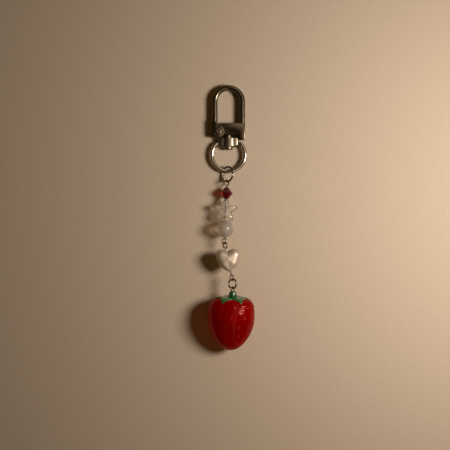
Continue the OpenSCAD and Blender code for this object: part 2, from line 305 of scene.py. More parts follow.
def wire_tree():
    """A tree that sweeps a round wire along the edges of a path, as thick as the path says."""
    tree = bpy.data.node_groups.get("Wire along a path")
    if tree:
        return tree
    tree = bpy.data.node_groups.new("Wire along a path", "GeometryNodeTree")
    sockets = tree.interface
    sockets.new_socket("Path", in_out="INPUT", socket_type="NodeSocketGeometry")
    sides = sockets.new_socket("Sides", in_out="INPUT", socket_type="NodeSocketInt")
    sides.default_value = 20
    sockets.new_socket("Finish", in_out="INPUT", socket_type="NodeSocketMaterial")
    sockets.new_socket("Wire", in_out="OUTPUT", socket_type="NodeSocketGeometry")
    node, link = tree.nodes.new, tree.links.new
    inputs, outputs = node("NodeGroupInput"), node("NodeGroupOutput")
    to_curve = node("GeometryNodeMeshToCurve")
    thickness = node("GeometryNodeInputNamedAttribute")
    thickness.data_type = "FLOAT"
    thickness.inputs["Name"].default_value = "wire_radius"
    set_radius = node("GeometryNodeSetCurveRadius")
    profile = node("GeometryNodeCurvePrimitiveCircle")
    profile.mode = "RADIUS"
    profile.inputs["Radius"].default_value = 1
    sweep = node("GeometryNodeCurveToMesh")
    sweep.inputs["Fill Caps"].default_value = True
    realize = node("GeometryNodeRealizeInstances")
    finish = node("GeometryNodeSetMaterial")
    link(inputs.outputs["Path"], to_curve.inputs["Mesh"])
    link(to_curve.outputs["Curve"], set_radius.inputs["Curve"])
    link(thickness.outputs["Attribute"], set_radius.inputs["Radius"])
    link(set_radius.outputs["Curve"], sweep.inputs["Curve"])
    link(inputs.outputs["Sides"], profile.inputs["Resolution"])
    link(profile.outputs["Curve"], sweep.inputs["Profile Curve"])
    if "Scale" in sweep.inputs:
        link(thickness.outputs["Attribute"], sweep.inputs["Scale"])
    link(sweep.outputs["Mesh"], realize.inputs["Geometry"])
    link(realize.outputs["Geometry"], finish.inputs["Geometry"])
    link(inputs.outputs["Finish"], finish.inputs["Material"])
    link(finish.outputs["Geometry"], outputs.inputs["Wire"])
    return tree


def wire(name, path, radii, material, sides):
    """A round wire along a path of points. radii is one radius or one for each point."""
    radii = [radii] * len(path) if isinstance(radii, float) else radii
    obj = mesh_object(name, path, [], [(i, i + 1) for i in range(len(path) - 1)])
    attribute = obj.data.attributes.new("wire_radius", "FLOAT", "POINT")
    attribute.data.foreach_set("value", radii)
    modifier = obj.modifiers.new("Wire", "NODES")
    modifier.node_group = wire_tree()
    keys = {s.name: s.identifier for s in modifier.node_group.interface.items_tree}
    modifier[keys["Sides"]] = sides
    modifier[keys["Finish"]] = material
    freeze(obj)
    tidy_mesh(obj)
    smooth(obj, 50)
    return obj


def bend(p0, p1, p2, p3, steps=8):
    """Points on a cubic curve, without its first point."""
    points = []
    for i in range(1, steps + 1):
        t = i / steps
        s = 1 - t
        points.append(p0 * s ** 3 + p1 * 3 * s * s * t + p2 * 3 * s * t * t + p3 * t ** 3)
    return points


def circle_path(centre, first, second, radius, start, end, steps):
    """Points on a circle. Angles are in degrees from first towards second."""
    points = []
    for i in range(steps + 1):
        a = math.radians(start + (end - start) * i / steps)
        points.append(centre + (first * math.cos(a) + second * math.sin(a)) * radius)
    return points


def eye_path(centre, down, side, radius, neck):
    """A bent eye: the wire's cut end, round the loop and out along down from the neck."""
    loop = circle_path(centre, down, side, radius, 22, 318, 40)
    tangent = (loop[-1] - loop[-2]).normalized()
    shaft = centre + down * (radius + neck)
    return loop + bend(loop[-1], loop[-1] + tangent * radius * 0.45, shaft - down * neck * 0.8, shaft)


# ---------------------------------------------------------------- shader groups

def sockets(tree, inputs, outputs):
    """Gives a shader group its named sockets, and returns its two end nodes."""
    for name, kind, default in inputs:
        socket = tree.interface.new_socket(name, in_out="INPUT", socket_type=kind)
        socket.default_value = default
    for name, kind in outputs:
        tree.interface.new_socket(name, in_out="OUTPUT", socket_type=kind)
    return tree.nodes.new("NodeGroupInput"), tree.nodes.new("NodeGroupOutput")


def noise_node(tree, place, scale, detail=3.0, roughness=0.5):
    """A noise texture read at a place."""
    texture = tree.nodes.new("ShaderNodeTexNoise")
    texture.inputs["Scale"].default_value = scale
    texture.inputs["Detail"].default_value = detail
    texture.inputs["Roughness"].default_value = roughness
    tree.links.new(place, texture.inputs["Vector"])
    return texture.outputs["Fac"]


def remap(tree, value, low, high, to_low=0.0, to_high=1.0):
    """A value spread from one range to another, and held inside it."""
    node = tree.nodes.new("ShaderNodeMapRange")
    node.clamp = True
    for name, number in (
            ("From Min", low), ("From Max", high), ("To Min", to_low), ("To Max", to_high)):
        node.inputs[name].default_value = number
    tree.links.new(value, node.inputs["Value"])
    return node.outputs["Result"]


def maths(tree, operation, a, b):
    """One sum. Each side is a socket or a number."""
    node = tree.nodes.new("ShaderNodeMath")
    node.operation = operation
    for i, side in enumerate((a, b)):
        if isinstance(side, (int, float)):
            node.inputs[i].default_value = side
        else:
            tree.links.new(side, node.inputs[i])
    return node.outputs["Value"]


def wear_group():
    """Smudges, fine scratches and small pits."""
    tree = bpy.data.node_groups.get("Handling wear")
    if tree:
        return tree
    tree = bpy.data.node_groups.new("Handling wear", "ShaderNodeTree")
    start, end = sockets(
        tree, [("Amount", "NodeSocketFloat", 1.0)],
        [("Smudge", "NodeSocketFloat"), ("Scratch", "NodeSocketFloat"), ("Height", "NodeSocketFloat")])
    place = tree.nodes.new("ShaderNodeTexCoord").outputs["Object"]
    smudge = remap(tree, noise_node(tree, place, 260, 4, 0.6), 0.42, 0.68)
    stretched = tree.nodes.new("ShaderNodeMapping")
    stretched.inputs["Scale"].default_value = (1.0, 0.12, 1.0)
    stretched.inputs["Rotation"].default_value = (0.2, 0.3, 0.5)
    tree.links.new(place, stretched.inputs["Vector"])
    lines = noise_node(tree, stretched.outputs["Vector"], 4200, 2, 0.5)
    scratch = remap(tree, lines, 0.62, 0.70)
    pits = remap(tree, noise_node(tree, place, 2600, 1, 0.4), 0.66, 0.74)
    rough = maths(tree, "MULTIPLY", scratch, 0.35)
    height = maths(tree, "ADD", rough, pits)
    for name, value in (("Smudge", smudge), ("Scratch", scratch), ("Height", height)):
        tree.links.new(maths(tree, "MULTIPLY", value, start.outputs["Amount"]), end.inputs[name])
    return tree


def grain_group():
    """Slow waviness and a fine grain, as on moulded parts."""
    tree = bpy.data.node_groups.get("Moulded grain")
    if tree:
        return tree
    tree = bpy.data.node_groups.new("Moulded grain", "ShaderNodeTree")
    start, end = sockets(
        tree, [("Amount", "NodeSocketFloat", 1.0)],
        [("Wave", "NodeSocketFloat"), ("Cloud", "NodeSocketFloat"), ("Speck", "NodeSocketFloat")])
    place = tree.nodes.new("ShaderNodeTexCoord").outputs["Object"]
    wave = noise_node(tree, place, 230, 1, 0.4)
    cloud = remap(tree, noise_node(tree, place, 150, 4, 0.55), 0.35, 0.65)
    speck = remap(tree, noise_node(tree, place, 1900, 2, 0.5), 0.66, 0.74)
    for name, value in (("Wave", wave), ("Cloud", cloud), ("Speck", speck)):
        tree.links.new(maths(tree, "MULTIPLY", value, start.outputs["Amount"]), end.inputs[name])
    return tree


# ---------------------------------------------------------------- finishes

def blank(name, base, **values):
    """A material with its shader's own sockets set, the shader and its tree."""
    material = bpy.data.materials.new(name)
    material.use_nodes = True
    tree = material.node_tree
    shader = tree.nodes["Principled BSDF"]
    shader.inputs["Base Color"].default_value = (*base, 1)
    for key, value in values.items():
        shader.inputs[key.replace("_", " ").title().replace("Ior", "IOR")].default_value = value
    return material, shader, tree


def effect(tree, group, amount):
    """A shader group's node in a material."""
    node = tree.nodes.new("ShaderNodeGroup")
    node.node_tree = group
    node.inputs["Amount"].default_value = amount
    return node


def tint(tree, shader, factor, first, second):
    """Base colour that goes from one colour to another."""
    mix = tree.nodes.new("ShaderNodeMix")
    mix.data_type = "RGBA"
    mix.inputs[6].default_value = (*first, 1)
    mix.inputs[7].default_value = (*second, 1)
    tree.links.new(factor, mix.inputs[0])
    tree.links.new(mix.outputs[2], shader.inputs["Base Color"])


def bumped(tree, shader, height, distance, strength=0.5, coat=False):
    """A bump of this height, in metres, on the shader."""
    bump = tree.nodes.new("ShaderNodeBump")
    bump.inputs["Strength"].default_value = strength
    bump.inputs["Distance"].default_value = distance
    tree.links.new(height, bump.inputs["Height"])
    tree.links.new(bump.outputs["Normal"], shader.inputs["Normal"])
    if coat:
        tree.links.new(bump.outputs["Normal"], shader.inputs["Coat Normal"])


def plated(name, base, rough=0.12, wear=1.0):
    """Plated metal with smudges, scratches and a little tarnish."""
    material, shader, tree = blank(name, base, metallic=1.0, roughness=rough)
    marks = effect(tree, wear_group(), wear)
    tint(tree, shader, marks.outputs["Smudge"], base, [c * k for c, k in zip(base, (0.72, 0.66, 0.56))])
    smudged = maths(tree, "MULTIPLY", marks.outputs["Smudge"], 0.10)
    scratched = maths(tree, "MULTIPLY", marks.outputs["Scratch"], 0.14)
    total = maths(tree, "ADD", maths(tree, "ADD", smudged, scratched), rough)
    tree.links.new(total, shader.inputs["Roughness"])
    bumped(tree, shader, marks.outputs["Height"], 0.02 * MM, 0.35)
    return material


def glassy(name, base, ior, rough, cloud, edge):
    """Clear acrylic with faint waves, and painted shade on its colour where it is seen edge on."""
    material, shader, tree = blank(
        name, base, roughness=rough, ior=ior, transmission_weight=1.0 - cloud)
    shader.inputs["Metallic"].default_value = 0.0
    # Painted shade: the base colour darkens towards the edge colour where the surface is seen edge on.
    rim = tree.nodes.new("ShaderNodeLayerWeight")
    rim.inputs["Blend"].default_value = 0.42
    tint(tree, shader, remap(tree, rim.outputs["Facing"], 0.2, 0.65), base, edge)
    moulded = effect(tree, grain_group(), 1.0)
    bumped(tree, shader, moulded.outputs["Wave"], 0.30 * MM, 0.6)
    tree.links.new(
        maths(tree, "ADD", maths(tree, "MULTIPLY", moulded.outputs["Speck"], 0.25), rough),
        shader.inputs["Roughness"])
    tinted_shadow(tree, shader, base, 0.15, 0.10)
    return material


def tinted_shadow(tree, shader, shade, amount, glow=0.0, lit=(1, 1, 1)):
    """Lets coloured light through into the piece's shadow, and lights its far side by glow."""
    surface = shader.outputs["BSDF"]
    if glow:
        far = tree.nodes.new("ShaderNodeBsdfTranslucent")
        far.inputs["Color"].default_value = (*lit, 1)
        both = tree.nodes.new("ShaderNodeMixShader")
        both.inputs["Fac"].default_value = glow
        tree.links.new(surface, both.inputs[1])
        tree.links.new(far.outputs["BSDF"], both.inputs[2])
        surface = both.outputs["Shader"]
    path = tree.nodes.new("ShaderNodeLightPath")
    through = tree.nodes.new("ShaderNodeBsdfTransparent")
    through.inputs["Color"].default_value = (*shade, 1)
    mix = tree.nodes.new("ShaderNodeMixShader")
    tree.links.new(
        maths(tree, "MULTIPLY", path.outputs["Is Shadow Ray"], amount), mix.inputs["Fac"])
    tree.links.new(surface, mix.inputs[1])
    tree.links.new(through.outputs["BSDF"], mix.inputs[2])
    tree.links.new(mix.outputs["Shader"], tree.nodes["Material Output"].inputs["Surface"])


def resin(name, base, deep, rough, scatter, radius):
    """Glossy tinted resin that light sinks into."""
    material, shader, tree = blank(
        name, base, roughness=rough, ior=1.5, coat_weight=1.0, coat_roughness=0.04,
        subsurface_weight=scatter, subsurface_scale=0.003)
    shader.inputs["Subsurface Radius"].default_value = radius
    moulded = effect(tree, grain_group(), 1.0)
    tint(tree, shader, moulded.outputs["Cloud"], base, deep)
    bumped(tree, shader, moulded.outputs["Wave"], 0.25 * MM, 0.4, coat=True)
    return material, shader, tree


# ---------------------------------------------------------------- shared shapes

def loft(name, rings):
    """A closed solid through rings of points, with flat ends."""
    count = len(rings[0])
    vertices = [p for ring in rings for p in ring]
    faces = []
    for i in range(len(rings) - 1):
        a, b = i * count, (i + 1) * count
        faces += [(a + k, a + (k + 1) % count, b + (k + 1) % count, b + k) for k in range(count)]
    top = (len(rings) - 1) * count
    faces += [tuple(range(count - 1, -1, -1)), tuple(range(top, top + count))]
    obj = mesh_object(name, vertices, faces)
    tidy_mesh(obj)
    return obj


def oval(width, depth, power=2.4, steps=40):
    """A rounded section as pairs of numbers."""
    points = []
    for k in range(steps):
        a = 2 * math.pi * k / steps
        c, s = math.cos(a), math.sin(a)
        points.append((
            width / 2 * math.copysign(abs(c) ** (2 / power), c),
            depth / 2 * math.copysign(abs(s) ** (2 / power), s)))
    return points


def rounded_ends(foot, top, foot_round, top_round, steps=8):
    """Places along a bar with rounded ends, and how far its section draws in at each."""
    turn = [math.pi / 2 * i / steps for i in range(steps + 1)]
    ends = [(foot + foot_round * (1 - math.sin(a)), foot_round * (1 - math.cos(a)))
            for a in reversed(turn)]
    return ends + [(top - top_round * (1 - math.sin(a)), top_round * (1 - math.cos(a)))
                   for a in turn]


def flat_bar(name, path, width, depth, z):
    """A rounded bar that follows a path in XY."""
    rings = []
    for i, (x, y) in enumerate(path):
        ahead, behind = path[min(i + 1, len(path) - 1)], path[max(i - 1, 0)]
        along = Vector((ahead[0] - behind[0], ahead[1] - behind[1], 0)).normalized()
        side = along.cross(UP)
        rings.append([
            Vector((x, y, z)) + side * u + UP * v for u, v in oval(width, depth)])
    return loft(name, rings)


def dress(obj, body, nodes, material):
    """Finishes a piece: its material, its body and the CAD nodes it stands for."""
    obj.data.materials.clear()
    obj.data.materials.append(material)
    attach(obj, body)
    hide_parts(*nodes)
    return obj


class Builder(bpy.types.Operator):
    """Base of every piece's operator."""
    bl_options = {"REGISTER", "UNDO"}

    def execute(self, context):
        self.build(context.scene)
        return {"FINISHED"}


# ---------------------------------------------------------------- clasp

# Radii about the gate's hinge and the swivel's line.
RIVET_BORE, SWIVEL_BORE, WASHER_ROOM, SPRING_ROOM = 0.9 * MM, 1.22 * MM, 1.75 * MM, 1.75 * MM
TONGUE_ROUND, CHEEK_ROOM, FORK_ROUND = 2.05 * MM, 3.1 * MM, 4.2 * MM
NOSE_ROUND, SEAT_ROUND = 13.35 * MM, 13.6 * MM
TONGUE_HALF, CHEEK_THICKNESS, WEB = 0.85 * MM, 0.9 * MM, 0.75 * MM
FOOT_DROP = 2.8 * MM
# Cutting tools start below the clasp and end above it.
BELOW, ABOVE = -MM, 6 * MM


def clasp_places(scene):
    """The clasp's own measures, in metres."""
    sizes = scene.clasp_sizes
    hinge, swivel = pivot("gate_hinge"), pivot("swivel_spin")
    low, high = (Vector(v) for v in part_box("clasp_frame"))
    half = sizes.width / 2
    return dict(
        sizes=sizes, hinge=hinge, x=swivel.x, z=swivel.z, half=half,
        bar_x=half - sizes.bar_width / 2, base=hinge.y - 2.0 * MM, top=hinge.y + 3.7 * MM,
        arch=high.y - half, heel=low.y)


class KEYCHAIN_OT_clasp(Builder):
    """Hook, base block, tongue and bores of the snap clasp"""
    bl_idname = "keychain.clasp"
    bl_label = "Clasp frame"

    def build(self, scene):
        p = clasp_places(scene)
        clasp = join("clasp_body", [self.block(p), self.tongue(p), self.hook(p)])
        smooth(clasp, 40)
        metal = plated("Dark nickel plating", p["sizes"].metal, 0.15, 1.0)
        dress(clasp, "clasp", ["clasp_frame"], metal)

    def block(self, p):
        """The base with its room for the gate's cheeks, and its bores."""
        sizes, hinge, x, z, half = p["sizes"], p["hinge"], p["x"], p["z"], p["half"]
        inside, room_side, room_end = 4.85 * MM, 2.09 * MM, 6 * MM
        corner = sizes.bevel
        outline = [
            (hinge.x + 0.15 * MM, p["base"]), (x + inside, p["base"]), (x + inside, p["heel"]),
            (x + half - corner, p["heel"]), (x + half, p["heel"] + corner * 2),
            (x + half, p["top"]), (hinge.x + 0.15 * MM, p["top"])]
        block = plate("clasp_block", outline, 0, z * 2)
        bevelled(block, sizes.bevel, 4)
        room = z - TONGUE_HALF
        for low, high in ((-MM, room), (2 * z - room, 2 * z + MM)):
            carve(block, lathe("room", [
                (low, 0), (low, CHEEK_ROOM), (high, CHEEK_ROOM), (high, 0)],
                Vector((hinge.x, hinge.y, 0)), UP, 64))
            carve(block, plate("room", [
                (hinge.x - MM, hinge.y), (hinge.x + room_side, hinge.y),
                (hinge.x + room_side, hinge.y + room_end), (hinge.x - MM, hinge.y + room_end)],
                low, high))
        line = Vector((x, 0, z))
        along = Vector((0, 1, 0))
        carve(block, rod("bore", line, along, SWIVEL_BORE, p["base"] - MM, p["top"] + MM))
        carve(block, rod("bore", line, along, WASHER_ROOM, hinge.y + 0.4 * MM, p["top"] + MM))
        carve(block, rod("bore", Vector((hinge.x, hinge.y, 0)), UP, RIVET_BORE, BELOW, ABOVE))
        return block

    def tongue(self, p):
        """The round tongue between the cheeks, hollowed for the spring."""
        hinge, z = p["hinge"], p["z"]
        centre = Vector((hinge.x, hinge.y, 0))
        tongue = plate(
            "tongue",
            arc(hinge, TONGUE_ROUND, 90, 260, 20)
            + [(hinge.x + 0.3 * MM, p["base"]), (hinge.x + 0.3 * MM, hinge.y + TONGUE_ROUND)],
            z - TONGUE_HALF, z + TONGUE_HALF)
        carve(tongue, rod("bore", centre, UP, RIVET_BORE, BELOW, ABOVE))
        carve(tongue, rod("recess", centre, UP, SPRING_ROOM, z - 0.15 * MM, z + 2 * MM))
        return tongue

    def hook(self, p):
        """The right bar and the arch, cut where the gate closes."""
        sizes, hinge, x, z = p["sizes"], p["hinge"], p["x"], p["z"]
        right = [(x + p["bar_x"], p["top"] - MM + 0.5 * MM * i) for i in range(3)]
        path = right + arc((x, p["arch"]), p["bar_x"], 0, 180, 64)
        path.append((x - p["bar_x"], p["arch"] - MM))
        hook = flat_bar("hook", path, sizes.bar_width, sizes.bar_depth, z)
        seat = arc(hinge, SEAT_ROUND, 70, 120, 40)
        seat += [(x - 12 * MM, hinge.y), (x - MM, hinge.y)]
        carve(hook, plate("seat", seat, BELOW, ABOVE))
        bevelled(hook, 0.18 * MM, 3, 40)
        return hook


class KEYCHAIN_OT_gate(Builder):
    """Gate with its forked cheeks"""
    bl_idname = "keychain.gate"
    bl_label = "Gate"

    def build(self, scene):
        p = clasp_places(scene)
        sizes, hinge, x, z = p["sizes"], p["hinge"], p["x"], p["z"]
        bar_x = x - p["bar_x"]
        path = [(bar_x, hinge.y + (3.4 + 0.5 * i) * MM) for i in range(24)]
        bar = flat_bar("gate", path, sizes.bar_width, sizes.bar_depth, z)
        centre = Vector((hinge.x, hinge.y, 0))
        carve(bar, rod("nose", centre, UP, NOSE_ROUND, BELOW, ABOVE, 128), "INTERSECT")
        carve(bar, rod("fork", centre, UP, FORK_ROUND, BELOW, ABOVE, 64))
        bevelled(bar, 0.18 * MM, 3, 40)
        left, foot = x - p["half"], hinge.y - FOOT_DROP
        crown = hinge.y + 4.7 * MM
        shells = [bar]
        radius = sizes.cheek_radius
        turn = math.degrees(math.asin(FOOT_DROP / radius))
        corner = 1.0 * MM
        right = left + sizes.bar_width
        tall = math.degrees(math.acos((right - hinge.x) / radius))
        outline = [(left, crown)] + arc((left + corner, foot + corner), corner, 180, 270, 8)
        outline += arc(hinge, radius, -180 + turn, tall, 40) + [(right, crown)]
        for low in (0.45 * MM, 3.15 * MM):
            cheek = plate("cheek", outline, low, low + CHEEK_THICKNESS)
            carve(cheek, rod("bore", centre, UP, RIVET_BORE + 0.05 * MM, BELOW, ABOVE))
            bevelled(cheek, 0.2 * MM, 3, 40)
            shells.append(cheek)
        web = [(left, crown), (left, foot + corner), (left + 0.3 * MM, foot + 0.3 * MM),
               (left + WEB, foot + 0.1 * MM), (left + WEB, crown)]
        shells.append(plate("web", web, 0.8 * MM, 3.7 * MM))
        gate = join("gate_arm", shells)
        smooth(gate, 40)
        metal = plated("Dark nickel plating on the gate", sizes.metal, 0.17, 1.1)
        dress(gate, "gate_arm", ["gate"], metal)


class KEYCHAIN_OT_rivet(Builder):
    """Peened rivet and coil spring of the gate's hinge"""
    bl_idname = "keychain.rivet"
    bl_label = "Rivet and spring"

    def build(self, scene):
        hinge = pivot("gate_hinge")
        self.rivet(hinge)
        self.spring(hinge)

    def rivet(self, hinge):
        """A pin with a formed head below and a hammered one above."""
        profile = [(0, 0), (0, 1.35), (0.08, 1.55), (0.2, 1.6), (0.38, 1.55), (0.4, 0.9),
                   (4.1, 0.9), (4.12, 1.62), (4.22, 1.7), (4.36, 1.66), (4.52, 1.42), (4.62, 1.1),
                   (4.66, 0.85), (4.60, 0.6), (4.62, 0.3), (4.6, 0)]
        rivet = lathe(
            "gate_rivet_peened", [(a * MM, r * MM) for a, r in profile],
            Vector((hinge.x, hinge.y, 0)), UP, 64)
        for vertex in rivet.data.vertices:
            if vertex.co.z > 4.3 * MM:
                hammered = noise.noise(vertex.co / MM * 1.6)
                vertex.co.z += 0.05 * MM * hammered
        smooth(rivet, 50)
        steel = plated("Peened rivet", (0.11, 0.09, 0.07), 0.4, 1.8)
        dress(rivet, "clasp", ["gate_rivet"], steel)

    def spring(self, hinge):
        """A torsion coil round the rivet, with its two legs."""
        spring_wire = 0.13 * MM
        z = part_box("gate_spring")[0][2] + 0.14 * MM
        centre = Vector((hinge.x, hinge.y, z))
        turns, radius, rise = 3, 1.3 * MM, 0.25 * MM
        steps = 36 * turns
        path = [centre + Vector((3.2 * MM, -radius, 0))]
        for i in range(steps + 1):
            a = -math.pi / 2 - 2 * math.pi * (turns - 0.25) * i / steps
            path.append(centre + Vector((
                radius * math.cos(a), radius * math.sin(a), rise * turns * i / steps * 0.9)))
        path.append(path[-1] + Vector((0, 3.6 * MM, 0)))
        spring = wire(
            "gate_coil_spring", path, spring_wire, plated("Spring steel", (0.55, 0.53, 0.5), 0.2), 10)
        dress(spring, "clasp", ["gate_spring"], spring.data.materials[0])


# ---------------------------------------------------------------- swivel and rings

class KEYCHAIN_OT_swivel(Builder):
    """Swivel barrel with its spigot, and the washer it is peened over"""
    bl_idname = "keychain.swivel"
    bl_label = "Swivel"

    def build(self, scene):
        swivel = pivot("swivel_spin")
        low, high = (Vector(v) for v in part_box("swivel_barrel"))
        along = Vector((0, 1, 0))
        line = Vector((swivel.x, 0, swivel.z))
        foot, top = low.y + 1.2 * MM, swivel.y
        lug_depth, hub_width = 3.4 * MM, 7.0 * MM
        barrel = self.block(
            "barrel", line, rounded_ends(foot, top, 1.5 * MM, 0.4 * MM),
            high.x - low.x, lug_depth, 5.0, 72)
        bevelled(barrel, 0.06 * MM, 2, 50)
        hub = self.block(
            "hub", line, rounded_ends(foot, top, 0.9 * MM, 0.25 * MM),
            hub_width, high.z - low.z, 2.0, 64)
        boss = lathe("boss", [
            (low.y, 0), (low.y, 1.6 * MM), (low.y + 0.1 * MM, 1.8 * MM),
            (low.y + 0.3 * MM, 1.9 * MM), (foot + 0.5 * MM, 1.9 * MM), (foot + 0.5 * MM, 0)],
            line, along, 56)
        washer = swivel.y + 3.5 * MM
        spigot = lathe("spigot", [
            (top - 0.5 * MM, 0), (top - 0.5 * MM, 1.15 * MM), (washer, 1.15 * MM),
            (washer, 0.8 * MM), (washer + 0.6 * MM, 0.8 * MM), (washer + 0.6 * MM, 1.12 * MM),
            (washer + 0.85 * MM, 1.05 * MM), (washer + 1.0 * MM, 0.7 * MM), (washer + MM, 0)],
            line, along, 40)
        piece = join("swivel_barrel_turned", [barrel, hub, boss, spigot])
        smooth(piece, 42)
        metal = plated("Barrel plating", (0.24, 0.205, 0.165), 0.28, 1.0)
        dress(piece, "swivel", ["swivel_barrel"], metal)
        disc = lathe("swivel_washer_pressed", [
            (washer + 0.02 * MM, 0), (washer + 0.02 * MM, 1.5 * MM), (washer + 0.12 * MM, 1.6 * MM),
            (washer + 0.48 * MM, 1.6 * MM), (washer + 0.58 * MM, 1.5 * MM),
            (washer + 0.58 * MM, 0)], line, along, 48)
        smooth(disc, 42)
        dress(disc, "swivel", ["swivel_washer"], plated("Washer", (0.5, 0.47, 0.43), 0.3))

    def block(self, name, line, ends, width, depth, power, steps):
        """A rounded block along the swivel's line, bored for the ring's two ends."""
        rings = []
        for y, inset in ends:
            section = oval(width - 2 * inset, depth - inset, power, steps)
            rings.append([line + Vector((u, y, v)) for u, v in section])
        solid = loft(name, rings)
        radius, start, end = 0.87 * MM, 2.3 * MM, 6 * MM
        for side in (-1, 1):
            way = Vector((side, 0, 0))
            carve(solid, rod("bore", pivot("ring_flip"), way, radius, start, end, 40))
        return solid


class KEYCHAIN_OT_rings(Builder):
    """Swivel ring and the two jump rings"""
    bl_idname = "keychain.rings"
    bl_label = "Rings"

    def build(self, scene):
        sizes = scene.link_sizes
        self.swivel_ring(sizes)
        self.jump_ring(sizes, "upper_jump_ring", "jump_ring", sizes.jump_wire,
                       "upper_pin_swing", 62)
        self.jump_ring(sizes, "charm_jump_ring", "charm_ring", sizes.charm_wire,
                       "strawberry_swing", 118)

    def swivel_ring(self, sizes):
        """An open ring whose two ends bend inwards and taper into the barrel."""
        flip, foot = pivot("ring_flip"), pivot("jump_ring_swing")
        low, high = (Vector(v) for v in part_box("swivel_ring"))
        radius = (high.x - low.x - sizes.ring_wire) / 2
        centre = Vector((flip.x, foot.y + radius, flip.z))
        rise = flip.y - centre.y
        right, up = Vector((1, 0, 0)), Vector((0, 1, 0))
        start = 180 - math.degrees(math.asin(rise / radius)) + 6
        loop = circle_path(centre, right, up, radius, start, 540 - start, 120)
        thick, thin = sizes.ring_wire / 2, sizes.trunnion_wire / 2
        first = centre + up * rise
        ends = []
        for side, tip, before in ((-1, loop[0], loop[1]), (1, loop[-1], loop[-2])):
            tangent = (tip - before).normalized()
            inner = first + right * side * 4.55 * MM
            ends.append(bend(
                tip, tip + tangent * 1.0 * MM, inner + right * side * 1.0 * MM, inner, 12)
                + [first + right * side * d * MM for d in (3.9, 2.45)])
        path = ends[0][::-1] + loop + ends[1]
        fall = [thick - (thick - thin) * min(1, i / 9) for i in range(len(ends[0]))]
        radii = fall[::-1] + [thick] * len(loop) + fall
        ring = wire("swivel_ring_bent", path, radii,
                    plated("Ring plating", sizes.bright, 0.12, 0.8), sizes.sides + 12)
        dress(ring, "ring", ["swivel_ring"], ring.data.materials[0])

    def jump_ring(self, sizes, node, body, thickness, next_joint, seam):
        """A ring of wire with a fine slit, seam degrees round from the link it holds."""
        centre = middle(node)
        down = pivot(next_joint) - centre
        side = across(down.normalized(), axis(next_joint))
        gap = math.degrees(sizes.slit / down.length) / 2
        path = circle_path(
            centre, down.normalized(), side, down.length, seam + gap, seam + 360 - gap, 72)
        metal = plated("Wire of the " + node.replace("_", " "), sizes.dull, 0.16)
        piece = wire(node + "_cut", path, thickness / 2, metal, sizes.sides)
        dress(piece, body, [node], metal)


class KEYCHAIN_OT_pins(Builder):
    """Both eye pins and the eye of the strawberry"""
    bl_idname = "keychain.pins"
    bl_label = "Eye pins"

    def build(self, scene):
        sizes = scene.link_sizes
        self.eye_pin(sizes, "upper_eye_pin", "upper_pin", "bicone_spin",
                     "upper_pin_swing", "lower_pin_swing")
        self.eye_pin(sizes, "lower_eye_pin", "lower_pin", "heart_spin",
                     "lower_pin_swing", "charm_ring_swing")
        self.charm_eye(sizes)

    def eye_pin(self, sizes, node, body, line, above, below):
        """A straight pin with a loop at each end."""
        first, down = pivot(line), axis(line)
        radius, neck = 1.275 * MM, 0.75 * MM
        last = pivot(below) - down * radius
        # A loop stands square to the link it holds, which crosses it at the joint.
        side = down.cross(across(down, axis(above)))
        far_side = across(down, axis(below))
        head = eye_path(first, down, side, radius, neck)
        tail = eye_path(last, -down, far_side, radius, neck)
        metal = plated("Wire of the " + node.replace("_", " "), sizes.dull, 0.18, 1.2)
        piece = wire(node + "_bent", head + tail[::-1], sizes.pin_wire / 2, metal, sizes.sides)
        dress(piece, body, [node], metal)

    def charm_eye(self, sizes):
        """A loop whose long shank is set in the strawberry."""
        down = berry_frame()[0]
        top = berry_eye()
        side = down.cross(across(down, axis("strawberry_swing")))
        radius = 1.15 * MM
        path = eye_path(top, down, side, radius, 0.6 * MM)
        path.append(top + down * 8.8 * MM)
        metal = plated("Wire of the charm eye", sizes.dull, 0.18)
        piece = wire("charm_eye_bent", path, sizes.eye_wire / 2, metal, sizes.sides)
        dress(piece, "strawberry", ["charm_eye"], metal)


# ---------------------------------------------------------------- beads

def bead_frame(joint_name, node):
    """A threaded bead's centre, the wire's direction, and the bead's right and up."""
    down = axis(joint_name)
    start = pivot(joint_name)
    centre = start + down * (middle(node) - start).dot(down)
    right = across(down, Vector((1, 0, 0)))
    up = right.cross(down)
    return centre, down, right, up if up.z > 0 else -up


def drill(obj, centre, down, diameter):
    """A bead's threading hole."""
    carve(obj, rod("hole", centre, down, diameter / 2, -9 * MM, 9 * MM, 32))


